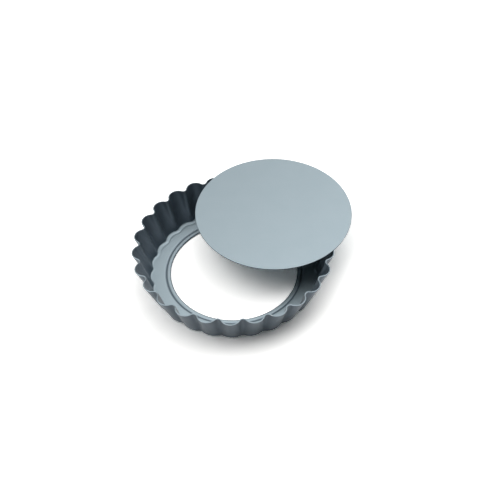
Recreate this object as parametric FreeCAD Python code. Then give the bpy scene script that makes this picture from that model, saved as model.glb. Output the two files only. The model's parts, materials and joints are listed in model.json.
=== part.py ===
import FreeCAD, Part
import math
import os

# A small fluted tart tin with a loose base, in millimetres.
# +Z is up. The origin is on the table, in the middle of the ring's centre hole.
# The base lies flat on the ring's rim, pushed to one side, as when the tin is laid out.

# Ring: the fluted wall
RIM_RADIUS = 50.0          # to the outside of the lobes, at the rim
RING_HEIGHT = 20.0         # from the table to the rim
WALL_LEAN_DEG = 17.4       # how far the wall leans outward, half way between lobe and ridge
SHEET = 0.5                # thickness of the pressed sheet
FLUTES = 26                # lobes round the ring
FIRST_LOBE_DEG = 5.6       # direction of one lobe, from +X
RIM_FLUTE_DEPTH = 3.24     # from lobe to ridge, at the rim
FOOT_FLUTE_DEPTH = 1.0     # from lobe to ridge, at the table
RIDGE_TO_LOBE = 0.3        # radius of the narrow ridge over that of the broad lobe
BEND_RADIUS = 1.0          # inside of the bend from ledge to wall

# Ring: the ledge, with a stamped groove and an inner edge folded under as a hem
HEM_WIDTH = 1.3            # from the centre hole to the end of the fold
HEM_LAND = 0.3             # height of the straight band left in the rounded fold
GROOVE_GAP = 0.05          # flat between the hem and the groove
GROOVE_WIDTH = 1.8
GROOVE_DEPTH = 0.25

# Loose base
BASE_THICKNESS = 0.6
BASE_EDGE_RADIUS = 0.15    # rounding of the cut edge
BASE_CLEARANCE = 0.6       # round the base when it is dropped in, to the bend at the ring's foot
LEDGE_BEARING = 7.75       # how far the ledge reaches under the base
BASE_OVERHANG = 20.5       # how far the base stands out past the rim that it lies on
BASE_DIRECTION_DEG = 47.6  # the way it is pushed, from +X

BEND_SECTIONS = 6          # steps in the loft of the bend

# Worked out from the sizes above
LEAN = math.radians(WALL_LEAN_DEG)
LEVEL_SHEET = SHEET / math.cos(LEAN)           # the wall's thickness, measured level
LEDGE_TOP = 2 * SHEET                          # the hem is two sheets high and stands on the table
LEDGE_UNDERSIDE = LEDGE_TOP - SHEET
RIM_MIDDLE = RIM_RADIUS - RIM_FLUTE_DEPTH / 2
FOOT_MIDDLE = RIM_MIDDLE - RING_HEIGHT * math.tan(LEAN)


def polar(radius, turn, height):
    """Point at a radius and an angle about the ring's axis."""
    return FreeCAD.Vector(radius * math.cos(turn), radius * math.sin(turn), height)


def flute_reach(height):
    """Radii of the lobes and of the ridges at a height, on the wall's outside."""
    middle = FOOT_MIDDLE + height * math.tan(LEAN)
    depth = FOOT_FLUTE_DEPTH + (RIM_FLUTE_DEPTH - FOOT_FLUTE_DEPTH) * height / RING_HEIGHT
    return middle + depth / 2, middle - depth / 2


def bend_reach(radius):
    """Level distance from the start of the bend at the wall's foot to the corner it rounds off."""
    return radius * math.tan((math.pi / 2 - LEAN) / 2)


def fluted_edges(height, inset):
    """Level line of the wall as tangent arcs, lobe and ridge by turns, inset square to its outside."""
    lobe, ridge = flute_reach(height)
    half_pitch = math.pi / FLUTES
    cosine = math.cos(half_pitch)
    spread = lobe ** 2 + ridge ** 2 - 2 * lobe * ridge * cosine
    fall = lobe - ridge * cosine + RIDGE_TO_LOBE * (lobe * cosine - ridge)
    lobe_arc = spread / (fall + math.sqrt(fall ** 2 + 2 * RIDGE_TO_LOBE * (1 - cosine) * spread))
    ridge_arc = RIDGE_TO_LOBE * lobe_arc
    edges = []
    for flute in range(FLUTES):
        turn = math.radians(FIRST_LOBE_DEG) + 2 * flute * half_pitch
        centre = polar(lobe - lobe_arc, turn, height)
        before = polar(ridge + ridge_arc, turn - half_pitch, height)
        after = polar(ridge + ridge_arc, turn + half_pitch, height)
        beyond = polar(lobe - lobe_arc, turn + 2 * half_pitch, height)
        start = centre + (before - centre).normalize() * (lobe_arc - inset)
        end = centre + (after - centre).normalize() * (lobe_arc - inset)
        next_start = beyond + (after - beyond).normalize() * (lobe_arc - inset)
        edges.append(Part.Arc(start, polar(lobe - inset, turn, height), end).toShape())
        edges.append(Part.Arc(end, polar(ridge - inset, turn + half_pitch, height), next_start).toShape())
    return edges


def fluted_solid(floor, top, inset, bend_radius):
    """Solid cup form: a flat floor, a bend of the given radius, then the straight fluted wall."""
    levels = []
    for step in range(BEND_SECTIONS + 1):
        turn = (math.pi / 2 - LEAN) * step / BEND_SECTIONS
        rise = bend_radius * (1 - math.cos(turn))
        back = bend_reach(bend_radius) + rise * math.tan(LEAN) - bend_radius * math.sin(turn)
        levels.append(fluted_edges(floor + rise, inset + back))
    rim = fluted_edges(top, inset)
    faces = [Part.Face(Part.Wire(levels[0])), Part.Face(Part.Wire(rim))]
    faces += Part.makeLoft([Part.Wire(level) for level in levels], False, False).Faces
    faces += [Part.makeRuledSurface(low, high) for low, high in zip(levels[-1], rim)]
    skin = Part.makeCompound(faces)
    skin.sewShape()
    return Part.Solid(Part.Shell(skin.Faces))


def base_radius():
    """Radius of the loose base, which drops in between the ring's ridges and lies on its ledge."""
    ridge = flute_reach(LEDGE_TOP)[1]
    return ridge - LEVEL_SHEET - bend_reach(BEND_RADIUS) - BASE_CLEARANCE


def hem_and_groove(hole_radius, groove_end):
    """Inner edge of the ledge: the hem round the centre hole, then the groove beside it."""
    fold = (LEDGE_TOP - HEM_LAND) / 2
    ease = fold * (1 - math.sqrt(0.5))
    hem_end = hole_radius + HEM_WIDTH
    groove_start = groove_end - GROOVE_WIDTH
    groove_middle = groove_end - GROOVE_WIDTH / 2

    def at(radius, height):
        return FreeCAD.Vector(radius, 0, height)

    groove_top = Part.Arc(at(groove_end, LEDGE_TOP), at(groove_middle, LEDGE_TOP - GROOVE_DEPTH),
                          at(groove_start, LEDGE_TOP))
    groove_under = Part.Arc(at(groove_start, LEDGE_UNDERSIDE), at(groove_middle, LEDGE_UNDERSIDE - GROOVE_DEPTH),
                            at(groove_end, LEDGE_UNDERSIDE))
    fold_top = Part.Arc(at(hole_radius + fold, LEDGE_TOP), at(hole_radius + ease, LEDGE_TOP - ease),
                        at(hole_radius, LEDGE_TOP - fold))
    fold_under = Part.Arc(at(hole_radius, fold), at(hole_radius + ease, ease), at(hole_radius + fold, 0))
    outline = [
        groove_top.toShape(),
        Part.makeLine(at(groove_start, LEDGE_TOP), at(hole_radius + fold, LEDGE_TOP)),
        fold_top.toShape(),
        Part.makeLine(at(hole_radius, LEDGE_TOP - fold), at(hole_radius, fold)),
        fold_under.toShape(),
        Part.makeLine(at(hole_radius + fold, 0), at(hem_end, 0)),
        Part.makeLine(at(hem_end, 0), at(hem_end, LEDGE_UNDERSIDE)),
        Part.makeLine(at(hem_end, LEDGE_UNDERSIDE), at(groove_start, LEDGE_UNDERSIDE)),
        groove_under.toShape(),
        Part.makeLine(at(groove_end, LEDGE_UNDERSIDE), at(groove_end, LEDGE_TOP)),
    ]
    section = Part.Face(Part.Wire(outline))
    return section.revolve(FreeCAD.Vector(0, 0, 0), FreeCAD.Vector(0, 0, 1), 360)


def fluted_ring():
    """Side of the tin: fluted wall, ledge, groove and hem, all of one sheet."""
    outside = fluted_solid(LEDGE_UNDERSIDE, RING_HEIGHT, 0, BEND_RADIUS + SHEET)
    inside = fluted_solid(LEDGE_TOP, RING_HEIGHT + SHEET, LEVEL_SHEET, BEND_RADIUS)
    hole_radius = base_radius() - LEDGE_BEARING
    groove_end = hole_radius + HEM_WIDTH + GROOVE_GAP + GROOVE_WIDTH
    cup = outside.cut(inside)
    ledge = cup.cut(Part.makeCylinder(groove_end, RING_HEIGHT))
    return ledge.fuse(hem_and_groove(hole_radius, groove_end)).removeSplitter()


def loose_base():
    """Plain round plate, lying flat on the rim and pushed to one side of the ring."""
    radius = base_radius()
    plate = Part.makeCylinder(radius, BASE_THICKNESS)
    rims = [edge for edge in plate.Edges if len(edge.Vertexes) == 1]
    plate = plate.makeFillet(BASE_EDGE_RADIUS, rims)
    push = RIM_RADIUS + BASE_OVERHANG - radius
    plate.translate(polar(push, math.radians(BASE_DIRECTION_DEG), RING_HEIGHT))
    return plate


def main():
    os.makedirs("parts", exist_ok=True)
    for name, make in (("fluted_ring", fluted_ring), ("loose_base", loose_base)):
        shape = make()
        shape = shape.Solids[0] if len(shape.Solids) == 1 else shape
        shape.exportStep(os.path.join("parts", name + ".step"))
        print(name, shape.ShapeType, shape.isValid(), round(shape.Volume, 1), "mm3")


main()
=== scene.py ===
"""Looks of a small fluted tart tin and its loose base, in metres, in the same frame as the solids.

The ring stands on the floor round the origin. The base lies flat on its rim, pushed to the back right.
Each piece of the tin is a class that builds its own mesh, and each finish is a class that makes its own
material from shared node groups.
"""
import json
import logging
import math
from dataclasses import dataclass, field
from enum import Enum
from typing import Sequence

import bpy
import numpy as np
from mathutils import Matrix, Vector


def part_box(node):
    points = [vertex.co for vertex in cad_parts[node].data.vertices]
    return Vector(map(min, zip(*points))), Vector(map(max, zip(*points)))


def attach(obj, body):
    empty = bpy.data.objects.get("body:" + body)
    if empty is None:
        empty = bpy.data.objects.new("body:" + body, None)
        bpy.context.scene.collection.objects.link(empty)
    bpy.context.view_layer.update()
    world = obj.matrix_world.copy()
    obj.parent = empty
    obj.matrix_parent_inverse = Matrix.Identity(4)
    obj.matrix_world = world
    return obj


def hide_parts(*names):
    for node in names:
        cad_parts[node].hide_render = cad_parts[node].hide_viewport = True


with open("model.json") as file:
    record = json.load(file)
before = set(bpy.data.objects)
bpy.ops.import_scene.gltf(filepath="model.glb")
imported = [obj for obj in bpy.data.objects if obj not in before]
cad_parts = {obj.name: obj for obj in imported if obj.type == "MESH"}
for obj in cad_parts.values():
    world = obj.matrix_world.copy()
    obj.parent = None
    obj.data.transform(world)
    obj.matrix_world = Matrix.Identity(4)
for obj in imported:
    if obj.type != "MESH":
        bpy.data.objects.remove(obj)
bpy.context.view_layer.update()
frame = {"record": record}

LOG = logging.getLogger("tart_tin")
MM = 0.001
CUT_EDGE = "cut_edge"
# Mask of painted shade: where it is 1 the coat is darkened to stand in for shade and dark reflections, and
# its roughness and metallic are lowered.
PAINTED_SHADE = "painted_shade"
Sockets = dict[str, bpy.types.NodeSocket]


class Body(Enum):
    """The rigid bodies of the tin, by the names that the motion model gives them."""

    RING = "ring"
    BASE = "base"


class Zone(Enum):
    """The stretches of the ring's section, in the order in which a line runs round the sheet."""

    OUTSIDE = "outside"
    RIM = "rim"
    INSIDE = "inside"
    LEDGE = "ledge"
    GROOVE = "groove"
    HEM = "hem"
    UNDERSIDE = "underside"


# ---------------------------------------------------------------------------------------------
# Mesh helpers
# ---------------------------------------------------------------------------------------------


def quarter(steps: int) -> np.ndarray:
    """Angles of a quarter turn, both ends included."""
    return np.linspace(0, math.pi / 2, steps + 1)


def skin_faces(lines: int, columns: int, closed: bool) -> list[tuple[int, ...]]:
    """Lists the quads between lines that are each closed on themselves.

    Args:
        lines: Number of lines.
        columns: Points on each line.
        closed: Whether the last line joins the first.

    Returns:
        The faces, as point numbers.
    """
    faces = []
    for line in range(lines if closed else lines - 1):
        low = line * columns
        high = ((line + 1) % lines) * columns
        for column in range(columns):
            beside = (column + 1) % columns
            faces.append((low + column, high + column, high + beside, low + beside))
    return faces


def smooth_mesh(name: str, points: np.ndarray, faces: Sequence[tuple[int, ...]]) -> bpy.types.Mesh:
    """Makes a smooth-shaded mesh.

    Args:
        name: Name of the mesh.
        points: Array of shape (points, 3).
        faces: Faces as point numbers.

    Returns:
        The new mesh.
    """
    mesh = bpy.data.meshes.new(name)
    mesh.from_pydata(points.tolist(), [], faces)
    mesh.polygons.foreach_set("use_smooth", [True] * len(mesh.polygons))
    mesh.update()
    return mesh


def add_mask(mesh: bpy.types.Mesh, name: str, values: np.ndarray) -> None:
    """Stores a value for each vertex, for a material to read.

    Args:
        mesh: Mesh that gets the values.
        name: Name of the attribute.
        values: One number for each vertex.
    """
    attribute = mesh.attributes.new(name, "FLOAT", "POINT")
    attribute.data.foreach_set("value", np.asarray(values, dtype=np.float32))


def place(name: str, mesh: bpy.types.Mesh, material: bpy.types.Material) -> bpy.types.Object:
    """Puts a mesh into the scene with its material.

    Args:
        name: Name of the piece.
        mesh: Mesh in the frame of the solids.
        material: Finish of the piece.

    Returns:
        The new object.
    """
    mesh.materials.append(material)
    piece = bpy.data.objects.new(name, mesh)
    bpy.context.scene.collection.objects.link(piece)
    return piece


# ---------------------------------------------------------------------------------------------
# Pieces
# ---------------------------------------------------------------------------------------------


@dataclass(frozen=True)
class FluteForm:
    """The fluted wall: broad lobes and narrow ridges as tangent arcs, leaning outward.

    Attributes:
        height: Height of the rim above the table.
        rim_radius: Radius to the outside of the lobes at the rim.
        lean: Outward lean of the wall, half way between lobe and ridge.
        sheet: Thickness of the pressed sheet.
        flutes: Number of lobes.
        first_lobe: Direction of one lobe, from +X.
        rim_depth: Lobe to ridge at the rim.
        foot_depth: Lobe to ridge at the table.
        ridge_to_lobe: Radius of the ridge's arc over that of the lobe's.
        lobe_steps: Mesh columns on one lobe.
        ridge_steps: Mesh columns on one ridge, an even number.
    """

    height: float
    rim_radius: float = 50.0 * MM
    lean: float = math.radians(17.4)
    sheet: float = 0.5 * MM
    flutes: int = 26
    first_lobe: float = math.radians(5.6)
    rim_depth: float = 3.24 * MM
    foot_depth: float = 1.0 * MM
    ridge_to_lobe: float = 0.3
    lobe_steps: int = 18
    ridge_steps: int = 10

    @property
    def level_sheet(self) -> float:
        """Thickness of the wall, measured level."""
        return self.sheet / math.cos(self.lean)

    def reach(self, height: float) -> tuple[float, float]:
        """Gives the radii of the wall's outside at a height.

        Args:
            height: Height above the table.

        Returns:
            The radius to the lobes and the radius to the ridges.
        """
        middle = self.rim_radius - self.rim_depth / 2 - (self.height - height) * math.tan(self.lean)
        depth = self.foot_depth + (self.rim_depth - self.foot_depth) * height / self.height
        return middle + depth / 2, middle - depth / 2

    def arcs(self, lobe: float, ridge: float) -> tuple[float, float]:
        """Gives the radii of the two arcs that meet on a common tangent.

        Args:
            lobe: Radius from the axis to the lobes.
            ridge: Radius from the axis to the ridges.

        Returns:
            The radius of the lobe's arc and the radius of the ridge's arc.
        """
        cosine = math.cos(math.pi / self.flutes)
        spread = lobe ** 2 + ridge ** 2 - 2 * lobe * ridge * cosine
        fall = lobe - ridge * cosine + self.ridge_to_lobe * (lobe * cosine - ridge)
        turned = fall ** 2 + 2 * self.ridge_to_lobe * (1 - cosine) * spread
        lobe_arc = spread / (fall + math.sqrt(turned))
        return lobe_arc, lobe_arc * self.ridge_to_lobe

    def flute(self, height: float, inset: float) -> np.ndarray:
        """Runs over one flute, from the tip of a ridge over the lobe almost to the next tip.

        Args:
            height: Height above the table.
            inset: Distance inward from the wall's outside, square to it.

        Returns:
            Complex points, with the lobe on the real axis.
        """
        lobe, ridge = self.reach(height)
        lobe_arc, ridge_arc = self.arcs(lobe, ridge)
        half_pitch = math.pi / self.flutes
        lobe_centre = complex(lobe - lobe_arc, 0)
        ridge_centre = (ridge + ridge_arc) * complex(math.cos(half_pitch), math.sin(half_pitch))
        tangent = ridge_centre - lobe_centre
        sweep = math.atan2(tangent.imag, tangent.real)
        half = self.ridge_steps // 2
        tip = math.pi + half_pitch
        lobe_turns = np.linspace(-sweep, sweep, self.lobe_steps, endpoint=False)
        ridge_turns = np.linspace(math.pi + sweep, tip, half + 1)
        over_lobe = lobe_centre + (lobe_arc - inset) * np.exp(1j * lobe_turns)
        to_tip = ridge_centre + (ridge_arc + inset) * np.exp(1j * ridge_turns)
        from_tip = np.conj(to_tip[:0:-1])
        return np.concatenate([from_tip, over_lobe, to_tip[:-1]])

    def line(self, height: float, inset: float) -> np.ndarray:
        """Runs once round the wall at a height.

        Args:
            height: Height above the table.
            inset: Distance inward from the wall's outside, square to it.

        Returns:
            One point for each mesh column, as an array of shape (columns, 3).
        """
        turns = self.first_lobe + 2 * math.pi / self.flutes * np.arange(self.flutes)
        points = (np.exp(1j * turns)[:, None] * self.flute(height, inset)[None, :]).ravel()
        return np.stack([points.real, points.imag, np.full(points.size, height)], axis=1)


@dataclass
class FlutedRing:
    """The side of the tin: fluted wall, ledge, stamped groove and folded hem, all of one sheet.

    Attributes:
        form: The fluted wall.
        hole_radius: Radius of the centre hole.
        hem_width: From the centre hole to the end of the fold.
        hem_land: Height of the straight band left in the rounded fold.
        fold_reach: How far the rounding of the fold reaches over the hem's top.
        groove_gap: Flat between the hem and the groove.
        groove_width: Width of the groove.
        groove_depth: Depth of the groove.
        bend: Inside radius of the bend from ledge to wall.
        rim_round: Rounding of the two edges of the sheet's cut end.
        fold_end_round: Rounding of the fold's end, under the ledge.
        pucker_depth: Depth of the shallow trough that drawing left along the wall's foot.
        pucker_width: Width of that trough.
        pucker_at: Direction in which the trough is deepest, from +X.
        pucker_focus: How closely the trough keeps to that direction.
        painted_shade_from: How far the bend has turned where the painted shade of the wall begins, from 0 to
            1.
        rim_painted_shade: How far the cut end's coat is darkened as painted shade, with its roughness and
            metallic lowered.
        groove_painted_shade: How far the bottom of the groove is darkened as painted shade, with its
            roughness and metallic lowered.
        wall_steps: Mesh strips up the straight wall.
        bend_steps: Mesh strips over the bend.
        ledge_steps: Mesh strips over the flat of the ledge.
        groove_steps: Mesh strips across the groove.
        underside_steps: Mesh strips over the flat of the ledge's underside.
        lines: The closed lines that make the sheet, filled in by build.
        zones: Stretch of each line.
        painted_shade: How far each line is darkened as painted shade, from 0 to 1; the same share lowers
            roughness and metallic.
    """

    form: FluteForm
    hole_radius: float
    hem_width: float = 1.3 * MM
    hem_land: float = 0.3 * MM
    fold_reach: float = 0.7 * MM
    groove_gap: float = 0.05 * MM
    groove_width: float = 1.8 * MM
    groove_depth: float = 0.25 * MM
    bend: float = 1.0 * MM
    rim_round: float = 0.1 * MM
    fold_end_round: float = 0.1 * MM
    pucker_depth: float = 0.18 * MM
    pucker_width: float = 1.8 * MM
    pucker_at: float = math.radians(138)
    pucker_focus: int = 14
    painted_shade_from: float = 0.6
    rim_painted_shade: float = 0.25
    groove_painted_shade: float = 0.95
    wall_steps: int = 15
    bend_steps: int = 8
    ledge_steps: int = 24
    groove_steps: int = 16
    underside_steps: int = 8
    lines: list[np.ndarray] = field(default_factory=list)
    zones: list[Zone] = field(default_factory=list)
    painted_shade: list[float] = field(default_factory=list)

    @property
    def ledge_top(self) -> float:
        """Height of the ledge, which stands on a hem of two sheets."""
        return 2 * self.form.sheet

    @property
    def ledge_underside(self) -> float:
        """Height of the ledge's underside."""
        return self.ledge_top - self.form.sheet

    @property
    def groove_end(self) -> float:
        """Radius of the groove's outer edge."""
        return self.hole_radius + self.hem_width + self.groove_gap + self.groove_width

    def add(self, zone: Zone, line: np.ndarray, painted_shade: float) -> None:
        """Adds a line round the ring.

        Args:
            zone: Stretch that the line belongs to.
            line: The line's points.
            painted_shade: How far the coat there is darkened as painted shade, from 0 to 1.
        """
        self.lines.append(line)
        self.zones.append(zone)
        self.painted_shade.append(painted_shade)

    def painted_shade_share(self, turned: float) -> float:
        """Gives how far painted shade darkens the sheet where the bend has turned by a share from 0 to 1."""
        share = min(max((turned - self.painted_shade_from) / (1 - self.painted_shade_from), 0.0), 1.0)
        return share * share * (3 - 2 * share)

    def circle(self, radius: float, height: float) -> np.ndarray:
        """Gives a round line whose points are in line with the flutes' points.

        Args:
            radius: Radius of the line.
            height: Height above the table.

        Returns:
            One point for each mesh column.
        """
        foot = self.form.line(self.ledge_top, self.form.level_sheet)
        turns = np.arctan2(foot[:, 1], foot[:, 0])
        return np.stack([radius * np.cos(turns), radius * np.sin(turns), np.full(turns.size, height)], axis=1)

    def bend_lines(self, floor: float, inset: float, radius: float) -> list[tuple[np.ndarray, float]]:
        """Works out the bend between a flat and the wall.

        Args:
            floor: Height of the flat.
            inset: Inset of the wall above it.
            radius: Radius of the bend.

        Returns:
            Each line from the flat up to the wall, with how far it has turned, from 0 to 1.
        """
        lean = self.form.lean
        full = math.pi / 2 - lean
        reach = radius * math.tan(full / 2)
        lines = []
        for turn in np.linspace(0, full, self.bend_steps + 1):
            rise = radius * (1 - math.cos(turn))
            back = reach + rise * math.tan(lean) - radius * math.sin(turn)
            lines.append((self.form.line(floor + rise, inset + back), turn / full))
        return lines

    def groove_lines(self, top: float) -> list[tuple[np.ndarray, float]]:
        """Works out the groove below a height, from its inner edge outward.

        Args:
            top: Height of the flat that the groove is pressed into.

        Returns:
            Each line of the groove, with how deep it lies, from 0 to 1.
        """
        lines = []
        for share in np.linspace(0, 1, self.groove_steps + 1):
            radius = self.groove_end - self.groove_width * (1 - share)
            deep = (1 - math.cos(2 * math.pi * share)) / 2
            lines.append((self.circle(radius, top - self.groove_depth * deep), deep))
        return lines

    def add_outside(self) -> None:
        """Adds the outside of the sheet, from the ledge's underside up to the rim."""
        bent = self.bend_lines(self.ledge_underside, 0.0, self.bend + self.form.sheet)
        # Painted shade: the bend darkens as it turns, and the outer wall is fully darkened.
        for line, turned in bent:
            self.add(Zone.OUTSIDE, line, self.painted_shade_share(turned))
        end = self.form.height - self.form.sheet * math.sin(self.form.lean) - self.rim_round
        for height in np.linspace(bent[-1][0][0, 2], end, self.wall_steps + 1)[1:]:
            self.add(Zone.OUTSIDE, self.form.line(height, 0.0), 1.0)

    def add_rim(self) -> None:
        """Adds the cut end of the sheet, square to the wall, so that its inner edge is the higher one."""
        sheet, lean, edge = self.form.sheet, self.form.lean, self.rim_round
        across = []
        for turn in quarter(3)[1:]:
            across.append((edge * (1 - math.cos(turn)), edge * (1 - math.sin(turn))))
        across.append((sheet / 2, 0.0))
        for turn in quarter(3)[::-1]:
            across.append((sheet - edge * (1 - math.cos(turn)), edge * (1 - math.sin(turn))))
        for depth, down in across:
            height = self.form.height - (sheet - depth) * math.sin(lean) - down * math.cos(lean)
            inset = depth * math.cos(lean) + depth * math.sin(lean) * math.tan(lean)
            # Painted shade: the cut end is partly darkened.
            self.add(Zone.RIM, self.form.line(height, inset), self.rim_painted_shade)

    def add_inside(self) -> None:
        """Adds the inside of the wall, down to the ledge."""
        bent = self.bend_lines(self.ledge_top, self.form.level_sheet, self.bend)
        top = self.form.height - 3 * self.rim_round
        # Painted shade: the inner wall is fully darkened, and the bend fades out to the plain ledge.
        for height in np.linspace(top, bent[-1][0][0, 2], self.wall_steps + 1)[:-1]:
            self.add(Zone.INSIDE, self.form.line(height, self.form.level_sheet), 1.0)
        for line, turned in bent[::-1]:
            self.add(Zone.INSIDE, line, self.painted_shade_share(turned))

    def pucker(self, line: np.ndarray, foot: np.ndarray) -> np.ndarray:
        """Sinks a line of the ledge where it crosses the trough along the wall's foot.

        Args:
            line: Points of the line on the flat ledge.
            foot: Points in line with them at the wall's foot.

        Returns:
            The sunk line.
        """
        out = np.hypot(*(foot - line)[:, :2].T)
        across = np.clip(out / self.pucker_width, 0, 1)
        turns = np.arctan2(line[:, 1], line[:, 0]) - self.pucker_at
        strength = np.maximum(np.cos(turns), 0) ** self.pucker_focus
        dip = self.pucker_depth * strength * (1 - np.cos(2 * math.pi * across)) / 2
        return line - np.stack([np.zeros_like(dip), np.zeros_like(dip), dip], axis=1)

    def add_ledge(self) -> None:
        """Adds the ledge and the groove in it, up to the hem."""
        foot = self.lines[-1]
        groove = self.groove_lines(self.ledge_top)[::-1]
        for step in range(1, self.ledge_steps):
            line = foot + (groove[0][0] - foot) * step / self.ledge_steps
            self.add(Zone.LEDGE, self.pucker(line, foot), 0.0)
        # Painted shade: the groove is darkened towards its bottom.
        for line, deep in groove:
            self.add(Zone.GROOVE, line, self.groove_painted_shade * deep)

    def add_hem(self) -> None:
        """Adds the fold round the hole: over the top, round the edge of the hole and back underneath."""
        fold = (self.ledge_top - self.hem_land) / 2
        end = self.hole_radius + self.hem_width
        for radius in np.linspace(end, self.hole_radius + self.fold_reach, 4):
            self.add(Zone.HEM, self.circle(radius, self.ledge_top), 0.0)
        # Painted shade: the fold darkens as it rounds the edge of the hole, and its underside is fully
        # darkened.
        for turn in quarter(8)[1:]:
            radius = self.hole_radius + self.fold_reach * (1 - math.sin(turn))
            height = self.ledge_top - fold * (1 - math.cos(turn))
            self.add(Zone.HEM, self.circle(radius, height), math.sin(turn))
        for turn in quarter(6):
            radius = self.hole_radius + fold * (1 - math.cos(turn))
            self.add(Zone.HEM, self.circle(radius, fold * (1 - math.sin(turn))), 1.0)
        for turn in quarter(3):
            edge = self.fold_end_round
            radius = end - edge * (1 - math.sin(turn))
            self.add(Zone.HEM, self.circle(radius, edge * (1 - math.cos(turn))), 1.0)

    def add_underside(self) -> None:
        """Adds the underside from the end of the fold out to the first line, which closes the section."""
        end = self.hole_radius + self.hem_width
        self.add(Zone.UNDERSIDE, self.circle(end, self.ledge_underside), 0.0)
        for line, _ in self.groove_lines(self.ledge_underside):
            self.add(Zone.UNDERSIDE, line, 0.0)
        before, after = self.lines[-1], self.lines[0]
        for step in range(1, self.underside_steps):
            line = before + (after - before) * step / self.underside_steps
            self.add(Zone.UNDERSIDE, line, 0.0)

    def build(self, material: bpy.types.Material) -> bpy.types.Object:
        """Makes the ring.

        Args:
            material: The ring's finish.

        Returns:
            The finished piece.
        """
        self.add_outside()
        self.add_rim()
        self.add_inside()
        self.add_ledge()
        self.add_hem()
        self.add_underside()
        columns = len(self.lines[0])
        faces = skin_faces(len(self.lines), columns, closed=True)
        mesh = smooth_mesh("ring_sheet", np.concatenate(self.lines), faces)
        rim = [1.0 if zone is Zone.RIM else 0.0 for zone in self.zones]
        add_mask(mesh, CUT_EDGE, np.repeat(rim, columns))
        add_mask(mesh, PAINTED_SHADE, np.repeat(self.painted_shade, columns))
        return place("ring_sheet", mesh, material)


@dataclass
class LooseBase:
    """The plain round plate that drops into the ring.

    Attributes:
        centre: Middle of the plate's underside.
        radius: Radius of the plate.
        thickness: Thickness of the plate.
        edge_round: Rounding of the cut edge.
        sheared: Share of the painted shade above which the edge is sheared face, where the coat never rubs.
        columns: Mesh columns round the plate.
        rings: Mesh rings on each face.
    """

    centre: Vector
    radius: float
    thickness: float
    edge_round: float = 0.15 * MM
    sheared: float = 0.8
    columns: int = 360
    rings: int = 24

    def circle(self, radius: float, height: float) -> np.ndarray:
        """Gives one round line of the plate.

        Args:
            radius: Radius of the line.
            height: Height above the plate's underside.

        Returns:
            One point for each mesh column.
        """
        turns = np.linspace(0, 2 * math.pi, self.columns, endpoint=False)
        heights = np.full(turns.size, self.centre.z + height)
        across = self.centre.x + radius * np.cos(turns)
        return np.stack([across, self.centre.y + radius * np.sin(turns), heights], axis=1)

    def section(self) -> list[tuple[float, float, float]]:
        """Works out the plate's lines, from the middle below round the cut edge to the middle on top.

        Returns:
            Radius and height of each line, and how far the coat there is darkened as painted shade, from 0 on
            the flats to 1 on the cut edge's face.
        """
        flat = np.linspace(self.radius / self.rings, self.radius - 2 * self.edge_round, self.rings)
        below = [(radius, 0.0, 0.0) for radius in flat]
        lower, upper = [], []
        for turn in quarter(4):
            out = self.radius - self.edge_round * (1 - math.sin(turn))
            rise = self.edge_round * (1 - math.cos(turn))
            lower.append((out, rise, math.sin(turn)))
            upper.append((out, self.thickness - rise, math.sin(turn)))
        top = [(radius, self.thickness, 0.0) for radius in flat]
        return below + lower + upper[::-1] + top[::-1]

    def build(self, material: bpy.types.Material) -> bpy.types.Object:
        """Makes the base.

        Args:
            material: The base's finish.

        Returns:
            The finished piece.
        """
        section = self.section()
        lines = [self.circle(radius, height) for radius, height, _ in section]
        faces = skin_faces(len(lines), self.columns, closed=False)
        count = len(lines) * self.columns
        last = count - self.columns
        for column in range(self.columns):
            beside = (column + 1) % self.columns
            faces.append((count, column, beside))
            faces.append((count + 1, last + beside, last + column))
        middles = np.array([self.centre, self.centre + Vector((0, 0, self.thickness))])
        mesh = smooth_mesh("base_plate", np.concatenate(lines + [middles]), faces)
        # Painted shade: the rounded and cut edge of the plate is darkened to stand in for the shade along it.
        painted_shade = np.array([mask for _, _, mask in section])
        edge = np.where(painted_shade < self.sheared, np.sign(painted_shade), 0.0)
        for mask, values in ((PAINTED_SHADE, painted_shade), (CUT_EDGE, edge)):
            add_mask(mesh, mask, np.concatenate([np.repeat(values, self.columns), [0.0, 0.0]]))
        return place("base_plate", mesh, material)


# ---------------------------------------------------------------------------------------------
# Node groups
# ---------------------------------------------------------------------------------------------


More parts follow.
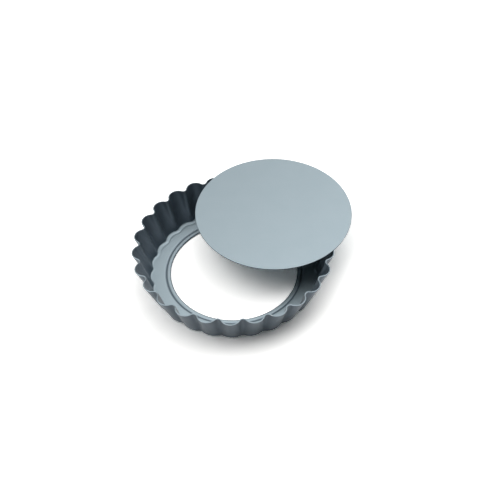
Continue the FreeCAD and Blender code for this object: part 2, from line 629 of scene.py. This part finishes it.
@dataclass
class NodeSheet:
    """One node tree, with short ways to add what the finishes need.

    Attributes:
        tree: The node tree.
    """

    tree: bpy.types.NodeTree

    def add(self, kind: str, **settings: object) -> bpy.types.Node:
        """Adds a node of a kind and sets its properties.

        Args:
            kind: Type name of the node.
            **settings: The node's properties by name.

        Returns:
            The new node.
        """
        node = self.tree.nodes.new(kind)
        for name, value in settings.items():
            setattr(node, name, value)
        return node

    def feed(self, socket: bpy.types.NodeSocket, value: object) -> None:
        """Links a socket to another, or sets it to a plain value.

        Args:
            socket: Socket that gets the value.
            value: Another socket, or a number, colour or place.
        """
        if isinstance(value, bpy.types.NodeSocket):
            self.tree.links.new(value, socket)
        else:
            socket.default_value = value

    def math(self, operation: str, first: object, second: object = 0.0) -> bpy.types.NodeSocket:
        """Works out one step of arithmetic on sockets or numbers.

        Args:
            operation: Name of the operation.
            first: First socket or number.
            second: Second socket or number.

        Returns:
            The result.
        """
        node = self.add("ShaderNodeMath", operation=operation)
        self.feed(node.inputs[0], first)
        self.feed(node.inputs[1], second)
        return node.outputs[0]

    def blend(self, share: object, first: object, second: object) -> bpy.types.NodeSocket:
        """Blends two numbers.

        Args:
            share: Share of the second number, from 0 to 1.
            first: First socket or number.
            second: Second socket or number.

        Returns:
            The blended number.
        """
        node = self.add("ShaderNodeMix", data_type="FLOAT")
        for socket, value in zip(node.inputs[:1] + node.inputs[2:4], (share, first, second)):
            self.feed(socket, value)
        return node.outputs[0]

    def tint(self, share: object, first: object, second: object) -> bpy.types.NodeSocket:
        """Blends two colours.

        Args:
            share: Share of the second colour, from 0 to 1.
            first: First socket or colour.
            second: Second socket or colour.

        Returns:
            The blended colour.
        """
        node = self.add("ShaderNodeMix", data_type="RGBA")
        for socket, value in zip((node.inputs[0], node.inputs[6], node.inputs[7]), (share, first, second)):
            self.feed(socket, value)
        return node.outputs[2]

    def noise(self, place_at: object, scale: object, detail: float) -> bpy.types.NodeSocket:
        """Gives even noise from 0 to 1 at a place.

        Args:
            place_at: Socket with the place.
            scale: Repeats over one metre.
            detail: Number of finer layers.

        Returns:
            The noise.
        """
        node = self.add("ShaderNodeTexNoise", noise_dimensions="3D")
        self.feed(node.inputs["Vector"], place_at)
        self.feed(node.inputs["Scale"], scale)
        self.feed(node.inputs["Detail"], detail)
        return node.outputs["Fac"]

    def spread(self, value: object, low: float, high: float) -> bpy.types.NodeSocket:
        """Stretches a span smoothly over 0 to 1.

        Args:
            value: Socket or number to stretch.
            low: Where the span starts.
            high: Where the span ends.

        Returns:
            The stretched value.
        """
        node = self.add("ShaderNodeMapRange", interpolation_type="SMOOTHSTEP")
        for name, number in (("Value", value), ("From Min", low), ("From Max", high)):
            self.feed(node.inputs[name], number)
        return node.outputs["Result"]

    def group(self, shared: bpy.types.NodeTree, **values: object) -> bpy.types.Node:
        """Places a shared node group and feeds its inputs.

        Args:
            shared: The group.
            **values: Input names, with underscores for spaces, and what they get.

        Returns:
            The group's node.
        """
        node = self.add("ShaderNodeGroup", node_tree=shared)
        for name, value in values.items():
            self.feed(node.inputs[name.replace("_", " ")], value)
        return node


def new_group(name: str, inputs: Sequence[str], outputs: Sequence[str]) -> tuple[NodeSheet, Sockets, Sockets]:
    """Starts a shared node group with named number inputs and outputs.

    Args:
        name: Name of the group.
        inputs: Names of its inputs.
        outputs: Names of its outputs.

    Returns:
        The sheet to build on, its input sockets by name and its output sockets by name.
    """
    tree = bpy.data.node_groups.new(name, "ShaderNodeTree")
    for label in inputs:
        tree.interface.new_socket(label, in_out="INPUT", socket_type="NodeSocketFloat")
    for label in outputs:
        tree.interface.new_socket(label, in_out="OUTPUT", socket_type="NodeSocketFloat")
    sheet = NodeSheet(tree)
    start, end = sheet.add("NodeGroupInput"), sheet.add("NodeGroupOutput")
    taken = {label: start.outputs[label] for label in inputs}
    given = {label: end.inputs[label] for label in outputs}
    return sheet, taken, given


def coat_grain_group() -> bpy.types.NodeTree:
    """Makes the group for a baked non-stick coat: fine grain, slow mottle and pin-sized flecks.

    Returns:
        The group. Its sizes are repeats over one metre.
    """
    inputs = ("Grain Scale", "Mottle Scale", "Fleck Scale")
    sheet, taken, given = new_group("coat_grain", inputs, ("Grain", "Mottle", "Fleck"))
    place_at = sheet.add("ShaderNodeTexCoord").outputs["Object"]
    grain = sheet.noise(place_at, taken["Grain Scale"], 2.0)
    mottle = sheet.noise(place_at, taken["Mottle Scale"], 3.0)
    cells = sheet.add("ShaderNodeTexVoronoi", feature="F1", distance="EUCLIDEAN")
    sheet.feed(cells.inputs["Vector"], place_at)
    sheet.feed(cells.inputs["Scale"], taken["Fleck Scale"])
    crowd_size, crowd_from = 0.7, 0.62
    dot_core, dot_rim = 0.12, 0.3
    where = sheet.noise(place_at, sheet.math("MULTIPLY", taken["Fleck Scale"], crowd_size), 0.0)
    rare = sheet.math("GREATER_THAN", where, crowd_from)
    dots = sheet.math("SUBTRACT", 1.0, sheet.spread(cells.outputs["Distance"], dot_core, dot_rim))
    sheet.feed(given["Grain"], grain)
    sheet.feed(given["Mottle"], sheet.spread(mottle, 0.3, 0.7))
    sheet.feed(given["Fleck"], sheet.math("MULTIPLY", dots, rare))
    return sheet.tree


def rolled_lines_group() -> bpy.types.NodeTree:
    """Makes the group for the faint lines that rolling and drawing leave in a sheet.

    Returns:
        The group. Its lines run where Along grows, and follow each other where Across grows.
    """
    inputs = ("Along", "Across", "Line Scale", "Stretch")
    sheet, taken, given = new_group("rolled_lines", inputs, ("Lines",))
    place_at = sheet.add("ShaderNodeCombineXYZ")
    sheet.feed(place_at.inputs[0], taken["Across"])
    sheet.feed(place_at.inputs[1], sheet.math("DIVIDE", taken["Along"], taken["Stretch"]))
    broad_size, broad_share = 0.3, 0.4
    fine = sheet.noise(place_at.outputs[0], taken["Line Scale"], 2.0)
    broad = sheet.noise(place_at.outputs[0], sheet.math("MULTIPLY", taken["Line Scale"], broad_size), 1.0)
    sheet.feed(given["Lines"], sheet.spread(sheet.blend(broad_share, fine, broad), 0.35, 0.65))
    return sheet.tree


def edge_wear_group() -> bpy.types.NodeTree:
    """Makes the group for a coat that is rubbed through in places along a cut edge.

    Returns:
        The group. Its wear is 0 on whole coat and 1 on bare steel.
    """
    sheet, taken, given = new_group("edge_wear", ("Edge", "Patch Scale", "Amount"), ("Wear",))
    place_at = sheet.add("ShaderNodeTexCoord").outputs["Object"]
    patches = sheet.noise(place_at, taken["Patch Scale"], 3.0)
    reach = sheet.math("ADD", patches, sheet.math("SUBTRACT", taken["Amount"], 1.0))
    soft_edge = 0.12
    rubbed = sheet.spread(reach, 0.0, soft_edge)
    sheet.feed(given["Wear"], sheet.math("MULTIPLY", rubbed, taken["Edge"]))
    return sheet.tree


@dataclass(frozen=True)
class SharedGroups:
    """The node groups that both finishes use.

    Attributes:
        grain: Grain, mottle and flecks of a baked coat.
        lines: Faint lines of rolling and drawing.
        wear: Rubbed patches along a cut edge.
    """

    grain: bpy.types.NodeTree
    lines: bpy.types.NodeTree
    wear: bpy.types.NodeTree


# ---------------------------------------------------------------------------------------------
# Finishes
# ---------------------------------------------------------------------------------------------


@dataclass(frozen=True)
class SatinCoat:
    """Grey-blue non-stick coat on steel sheet, baked to a satin.

    Attributes:
        name: Name of the material.
        colour: Colour of the coat, linear.
        mottle_colour: Colour where the coat is a shade thicker, linear.
        bare_colour: Colour of the bare steel along a rubbed edge, linear.
        metallic: How metallic the coat is.
        roughness: Roughness of the coat.
        painted_shade_colour: Dark colour of the coat where shade and dark reflections are painted on, linear.
        painted_shade_metallic: How metallic the coat is where the shade is painted.
        painted_shade_roughness: Roughness of the coat where the shade is painted.
        roughness_swing: How much grain, mottle and lines change the roughness.
        grain_depth: Depth of the grain.
        grain_scale: Grains over one metre.
        mottle_scale: Patches of mottle over one metre.
        fleck_scale: Places over one metre where a fleck can sit.
        fleck_share: How strongly a fleck darkens the coat.
        fleck_shade: Brightness of a full fleck over that of the coat.
        line_scale: Rolled or drawn lines over one metre.
        line_stretch: Length of such a line over its width.
        line_height: Share of the lines in the relief, beside the grain.
        patch_scale: Rubbed patches over one metre of cut edge.
        wear_amount: How much of a cut edge is rubbed, from 0 to 1.
        bare_roughness: Roughness of the bare steel.
    """

    name: str
    colour: tuple[float, float, float]
    mottle_colour: tuple[float, float, float]
    bare_colour: tuple[float, float, float]
    metallic: float
    roughness: float
    painted_shade_colour: tuple[float, float, float]
    painted_shade_metallic: float
    painted_shade_roughness: float
    roughness_swing: float = 0.02
    grain_depth: float = 0.0006 * MM
    grain_scale: float = 6500.0
    mottle_scale: float = 90.0
    fleck_scale: float = 1500.0
    fleck_share: float = 0.2
    fleck_shade: float = 0.8
    line_scale: float = 2600.0
    line_stretch: float = 60.0
    line_height: float = 0.3
    patch_scale: float = 420.0
    wear_amount: float = 0.38
    bare_roughness: float = 0.3

    def lines(self, sheet: NodeSheet, groups: SharedGroups) -> bpy.types.NodeSocket:
        """Adds the lines that rolling left in the flat sheet, which run across the tin.

        Args:
            sheet: The material's nodes.
            groups: The shared node groups.

        Returns:
            The lines, from 0 to 1.
        """
        spot = sheet.add("ShaderNodeSeparateXYZ")
        sheet.feed(spot.inputs[0], sheet.add("ShaderNodeTexCoord").outputs["Object"])
        node = sheet.group(groups.lines, Along=spot.outputs["X"], Across=spot.outputs["Y"],
                           Line_Scale=self.line_scale, Stretch=self.line_stretch)
        return node.outputs["Lines"]

    def build(self, groups: SharedGroups) -> bpy.types.Material:
        """Makes the material.

        Args:
            groups: The shared node groups.

        Returns:
            The material.
        """
        material = bpy.data.materials.new(self.name)
        material.use_nodes = True
        sheet = NodeSheet(material.node_tree)
        shader = material.node_tree.nodes["Principled BSDF"]
        grain = sheet.group(groups.grain, Grain_Scale=self.grain_scale, Mottle_Scale=self.mottle_scale,
                            Fleck_Scale=self.fleck_scale)
        lines = self.lines(sheet, groups)
        edge = sheet.add("ShaderNodeAttribute", attribute_name=CUT_EDGE).outputs["Fac"]
        worn = sheet.group(groups.wear, Edge=edge, Patch_Scale=self.patch_scale, Amount=self.wear_amount)
        wear = worn.outputs["Wear"]
        painted_shade = sheet.add("ShaderNodeAttribute", attribute_name=PAINTED_SHADE).outputs["Fac"]
        colour = sheet.tint(grain.outputs["Mottle"], (*self.colour, 1.0), (*self.mottle_colour, 1.0))
        swing = sheet.blend(0.5, sheet.blend(0.5, grain.outputs["Grain"], grain.outputs["Mottle"]), lines)
        half = self.roughness_swing / 2
        roughness = sheet.blend(swing, self.roughness - half, self.roughness + half)
        shade = tuple(self.fleck_shade * part for part in self.colour)
        fleck = sheet.math("MULTIPLY", grain.outputs["Fleck"], self.fleck_share)
        colour = sheet.tint(fleck, colour, (*shade, 1.0))
        # Painted shade: the mask darkens the coat towards a dark colour, and lowers its roughness and
        # metallic.
        colour = sheet.tint(painted_shade, colour, (*self.painted_shade_colour, 1.0))
        shift = sheet.math("MULTIPLY", painted_shade, self.roughness - self.painted_shade_roughness)
        roughness = sheet.math("SUBTRACT", roughness, shift)
        metallic = sheet.blend(painted_shade, self.metallic, self.painted_shade_metallic)
        colour = sheet.tint(wear, colour, (*self.bare_colour, 1.0))
        sheet.feed(shader.inputs["Base Color"], colour)
        sheet.feed(shader.inputs["Roughness"], sheet.blend(wear, roughness, self.bare_roughness))
        sheet.feed(shader.inputs["Metallic"], metallic)
        height = sheet.blend(self.line_height, grain.outputs["Grain"], lines)
        bump = sheet.add("ShaderNodeBump")
        bump.inputs["Strength"].default_value = 1.0
        bump.inputs["Distance"].default_value = self.grain_depth
        sheet.feed(bump.inputs["Height"], height)
        sheet.feed(shader.inputs["Normal"], bump.outputs["Normal"])
        return material


@dataclass(frozen=True)
class DrawnSatinCoat(SatinCoat):
    """The same coat on a sheet whose wall was drawn over a fluted punch.

    Attributes:
        wall_radius: Usual radius of the wall, by which directions become lengths.
    """

    line_scale: float = 1500.0
    line_stretch: float = 25.0
    wall_radius: float = 45.0 * MM

    def lines(self, sheet: NodeSheet, groups: SharedGroups) -> bpy.types.NodeSocket:
        """Adds the lines that drawing left, which run up the wall and out along the ledge.

        Args:
            sheet: The material's nodes.
            groups: The shared node groups.

        Returns:
            The lines, from 0 to 1.
        """
        spot = sheet.add("ShaderNodeSeparateXYZ")
        sheet.feed(spot.inputs[0], sheet.add("ShaderNodeTexCoord").outputs["Object"])
        x, y, z = (spot.outputs[axis] for axis in "XYZ")
        turn = sheet.math("ARCTAN2", y, x)
        squares = sheet.math("ADD", sheet.math("MULTIPLY", x, x), sheet.math("MULTIPLY", y, y))
        out = sheet.math("SQRT", squares)
        along = sheet.math("ADD", out, z)
        across = sheet.math("MULTIPLY", turn, self.wall_radius)
        node = sheet.group(groups.lines, Along=along, Across=across, Line_Scale=self.line_scale,
                           Stretch=self.line_stretch)
        return node.outputs["Lines"]


# ---------------------------------------------------------------------------------------------
# Studio
# ---------------------------------------------------------------------------------------------


@dataclass(frozen=True)
class Softbox:
    """A soft lamp that points at the tin.

    Attributes:
        name: Name of the lamp.
        azimuth: Direction of the lamp from the tin, from +X, in degrees.
        elevation: Height of the lamp above the horizon, in degrees.
        width: Level width of its face.
        depth: Depth of its face.
        radiance: Brightness of its face, where 1 is white.
        distance: Distance from the tin.
    """

    name: str
    azimuth: float
    elevation: float
    width: float
    depth: float
    radiance: float
    distance: float = 2.2

    def build(self) -> bpy.types.Object:
        """Makes the lamp.

        Returns:
            The lamp, in its place.
        """
        lamp = bpy.data.lights.new(self.name, "AREA")
        lamp.shape = "RECTANGLE"
        lamp.size = self.width
        lamp.size_y = self.depth
        lamp.energy = self.radiance * math.pi * self.width * self.depth
        turn, rise = math.radians(self.azimuth), math.radians(self.elevation)
        way = Vector((math.cos(turn) * math.cos(rise), math.sin(turn) * math.cos(rise), math.sin(rise)))
        holder = bpy.data.objects.new(self.name, lamp)
        holder.location = way * self.distance
        holder.rotation_euler = way.to_track_quat("Z", "Y").to_euler()
        bpy.context.scene.collection.objects.link(holder)
        return holder


@dataclass(frozen=True)
class Studio:
    """Pale floor, soft lamps, dim room and camera.

    Attributes:
        floor_size: Side of the square floor.
        floor_gap: Gap that keeps the floor from touching the foot of the tin.
        floor_tone: Brightness of the floor's paper in the light that it throws on the tin.
        floor_tone_seen: Brightness of the floor's paper as the camera, metal and glass see it.
        paper: Tint of the floor's paper, a warm white.
        room: Brightness of the room round the set.
        lamps: The soft lamps.
        camera_at: Where the camera stands, in metres.
        camera_down: How far the camera looks down, in degrees.
        camera_roll: How far the camera is rolled, in degrees.
        camera_lens: Focal length, in millimetres of film.
        film_width: Width of the film, in the same millimetres.
    """

    floor_size: float = 8.0
    floor_gap: float = 0.02 * MM
    floor_tone: float = 0.6
    floor_tone_seen: float = 1.52
    paper: tuple[float, float, float] = (1.005, 1.0, 0.985)
    room: float = 0.165
    lamps: tuple[Softbox, ...] = (
        Softbox("overhead_softbox", azimuth=110.0, elevation=80.6, width=5.64, depth=1.94, radiance=1.93),
        Softbox("left_softbox", azimuth=201.9, elevation=63.6, width=1.46, depth=0.87, radiance=1.60),
        Softbox("back_softbox", azimuth=63.2, elevation=51.3, width=1.37, depth=1.00, radiance=1.50),
        Softbox("right_softbox", azimuth=24.5, elevation=26.6, width=1.07, depth=0.69, radiance=0.61),
    )
    camera_at: tuple[float, float, float] = (8.3 * MM, -265.2 * MM, 305.8 * MM)
    camera_down: float = 47.59
    camera_roll: float = -0.93
    camera_lens: float = 56.93
    film_width: float = 36.0

    def build_floor(self) -> bpy.types.Object:
        """Makes the white paper floor on which the tin stands.

        Returns:
            The floor.
        """
        half = self.floor_size / 2
        corners = np.array([(-half, -half, 0), (half, -half, 0), (half, half, 0), (-half, half, 0)])
        mesh = smooth_mesh("studio_floor", corners, [(0, 1, 2, 3)])
        material = bpy.data.materials.new("floor_paper")
        material.use_nodes = True
        sheet = NodeSheet(material.node_tree)
        sheet.tree.nodes.remove(sheet.tree.nodes["Principled BSDF"])
        paper = sheet.add("ShaderNodeBsdfDiffuse")
        path = sheet.add("ShaderNodeLightPath").outputs
        mirrored = sheet.math("MAXIMUM", path["Is Glossy Ray"], path["Is Transmission Ray"])
        seen = sheet.math("MAXIMUM", path["Is Camera Ray"], mirrored)
        thrown = (*(self.floor_tone * part for part in self.paper), 1.0)
        shown = (*(self.floor_tone_seen * part for part in self.paper), 1.0)
        sheet.feed(paper.inputs["Color"], sheet.tint(seen, thrown, shown))
        sheet.feed(sheet.tree.nodes["Material Output"].inputs["Surface"], paper.outputs[0])
        floor = place("studio_floor", mesh, material)
        floor.location.z = -self.floor_gap
        return floor

    def build_room(self) -> bpy.types.World:
        """Makes the dim room round the set.

        Returns:
            The world.
        """
        world = bpy.data.worlds.new("studio_room")
        world.use_nodes = True
        shader = world.node_tree.nodes["Background"]
        shader.inputs["Color"].default_value = (1.0, 1.0, 1.0, 1.0)
        shader.inputs["Strength"].default_value = self.room
        bpy.context.scene.world = world
        return world

    def build_camera(self) -> bpy.types.Object:
        """Makes the camera, which looks down on the tin from the front.

        Returns:
            The camera.
        """
        lens = bpy.data.cameras.new("main_camera")
        lens.sensor_width = self.film_width
        lens.lens = self.camera_lens
        lens.clip_start = 0.01
        camera = bpy.data.objects.new("main_camera", lens)
        camera.location = self.camera_at
        camera.rotation_euler = (math.radians(90 - self.camera_down), 0, 0)
        camera.rotation_euler.rotate_axis("Z", math.radians(self.camera_roll))
        bpy.context.scene.collection.objects.link(camera)
        bpy.context.scene.camera = camera
        return camera

    def build(self) -> None:
        """Sets up floor, room, lamps, camera and colour handling."""
        self.build_floor()
        self.build_room()
        for lamp in self.lamps:
            lamp.build()
        self.build_camera()
        bpy.context.scene.view_settings.view_transform = "Standard"


# ---------------------------------------------------------------------------------------------
# The whole tin
# ---------------------------------------------------------------------------------------------


def mount_radius(name: str) -> float:
    """Reads the radius of one of the record's round mounts.

    Args:
        name: Name of the mount.

    Returns:
        The radius in metres.
    """
    mounts = {mount["name"]: mount for mount in frame["record"]["mounts"]}
    return mounts[name]["dims"]["r_mm"] * MM


def fit(piece: bpy.types.Object, node: str, body: Body) -> None:
    """Lets a piece stand for a solid, and move with its body.

    Args:
        piece: The finished piece.
        node: The solid that it stands for.
        body: The body that it moves with.
    """
    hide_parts(node)
    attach(piece, body.value)
    LOG.info("%s stands for %s: %d faces", piece.name, node, len(piece.data.polygons))


def main() -> None:
    """Builds the set and the tin, and logs each piece."""
    logging.basicConfig(level=logging.INFO, format="%(name)s: %(message)s")
    Studio().build()
    groups = SharedGroups(coat_grain_group(), rolled_lines_group(), edge_wear_group())
    # The dark painted shade colour stands in for the shade and dark reflections on the ring's walls, rim,
    # groove and hem and on the base's edge.
    coat = {"colour": (0.358, 0.431, 0.468), "mottle_colour": (0.350, 0.424, 0.461),
            "bare_colour": (0.42, 0.43, 0.44), "metallic": 0.79, "roughness": 0.52,
            "painted_shade_colour": (0.077, 0.106, 0.134), "painted_shade_metallic": 0.51,
            "painted_shade_roughness": 0.40}
    ring_coat = DrawnSatinCoat("ring_satin_coat", **coat).build(groups)
    base_coat = SatinCoat("base_satin_coat", **coat).build(groups)
    ring_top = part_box("fluted_ring")[1].z
    ring = FlutedRing(FluteForm(height=ring_top), mount_radius("centre_hole"))
    fit(ring.build(ring_coat), "fluted_ring", Body.RING)
    low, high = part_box("loose_base")
    middle = Vector(((low.x + high.x) / 2, (low.y + high.y) / 2, low.z))
    base = LooseBase(middle, (high.x - low.x) / 2, high.z - low.z)
    fit(base.build(base_coat), "loose_base", Body.BASE)


if __name__ == "__main__":
    main()
